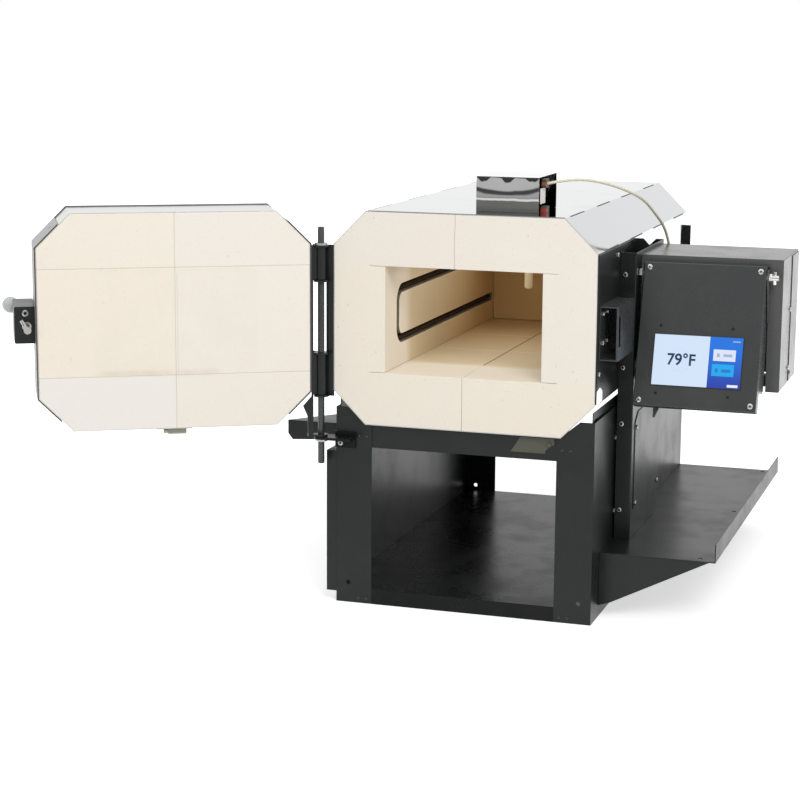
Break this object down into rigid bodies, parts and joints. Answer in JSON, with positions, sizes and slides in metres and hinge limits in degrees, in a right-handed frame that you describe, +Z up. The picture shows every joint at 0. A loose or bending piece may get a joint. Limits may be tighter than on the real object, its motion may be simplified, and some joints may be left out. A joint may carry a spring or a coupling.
{
  "type": "heat treat oven",
  "caption": "Bench heat treat oven: octagonal firebrick chamber in a polished steel jacket, hinged brick door with latch, sheet steel stand, side shelf and tilting controller.",
  "frame": {"origin": "middle of the front foot flange of the stand, on the table", "axes": "+X to the oven's right, +Y into the chamber, +Z up"},
  "size_m": [1.084, 0.921, 0.6246],
  "materials": {
    "firebrick": "matt, speckled",
    "board": "matt fibre board",
    "polished_steel": "mirror polished stainless sheet",
    "satin_steel": "satin stainless",
    "zinc": "zinc plated",
    "black_powder": "fine black powder coat",
    "charcoal_powder": "charcoal powder coat",
    "black_oxide": "black oxide",
    "heating_alloy": "oxidised resistance alloy",
    "dark_trim": "olive grey",
    "screen_glass": "lit screen",
    "circuit_board": "circuit board",
    "black_plastic": "moulded",
    "white_ceramic": "steatite",
    "plug_plastic": "moulded, red and orange",
    "lead_sleeve": "woven glass fibre sleeve",
    "knob_plastic": "grey ball"
  },
  "bodies": {
    "oven": {"base_pan": "black_powder", "stand_left_side": "black_powder", "stand_right_side": "black_powder", "front_rail": "black_powder", "rear_rail": "black_powder", "stand_rivets": "black_oxide", "roof_bricks": "firebrick", "floor_bricks": "firebrick", "left_wall_bricks": "firebrick", "right_wall_bricks": "firebrick", "rear_wall_brick": "firebrick", "left_element": "heating_alloy", "right_element": "heating_alloy", "rear_board": "board", "jacket": "polished_steel", "rear_cover": "black_powder", "cover_screws": "zinc", "right_side_cover": "black_powder", "left_side_cover": "black_powder", "keeper": "black_powder", "keeper_bolts": "zinc", "hinge_plate": "black_powder", "hinge_foot": "black_powder", "hinge_rod": "black_oxide", "hinge_washers": "zinc", "left_cover": "black_powder", "left_bracket": "black_powder", "front_tab": "dark_trim", "shelf": "black_powder", "shelf_gussets": "black_powder", "tower": "black_powder", "tower_cover": "black_powder", "tower_fixings": "black_oxide", "housing": "charcoal_powder", "housing_cover": "charcoal_powder", "housing_screws": "black_oxide", "relays": "black_plastic", "terminal_strip": "black_plastic", "inlet_gland": "black_plastic", "thermocouple": "white_ceramic", "thermocouple_box": "polished_steel", "terminal_block": "white_ceramic", "lead_plugs": "plug_plastic", "thermocouple_lead": "lead_sleeve"},
    "door": {"door_bricks": "firebrick", "door_board": "board", "door_side_plates": "dark_trim", "door_band": "satin_steel", "door_back_plate": "satin_steel", "door_fasteners": "zinc", "band_clamp": "satin_steel", "door_leaf": "black_powder", "latch_box": "black_powder"},
    "latch": {"latch_hook": "zinc", "latch_knob": "knob_plastic"},
    "controller_tray": {"tray": "charcoal_powder", "screen": "screen_glass", "display_board": "circuit_board", "tray_screws": "black_oxide", "tray_pivots": "zinc"}
  },
  "joints": [
    {"name": "door_swing", "type": "hinge", "parent": "oven", "child": "door", "pos_m": [-0.208, -0.0261, 0.42], "axis": [0, 0, 1], "range_deg": [0, 150]},
    {"name": "latch_turn", "type": "hinge", "parent": "door", "child": "latch", "pos_m": [-0.59222, -0.18661, 0.4164], "axis": [0.5, -0.866, 0], "range_deg": [0, 59]},
    {"name": "tray_tilt", "type": "hinge", "parent": "oven", "child": "controller_tray", "pos_m": [0.3115, 0.1408, 0.4853], "axis": [1, 0, 0], "range_deg": [-15, 17.4]}
  ]
}
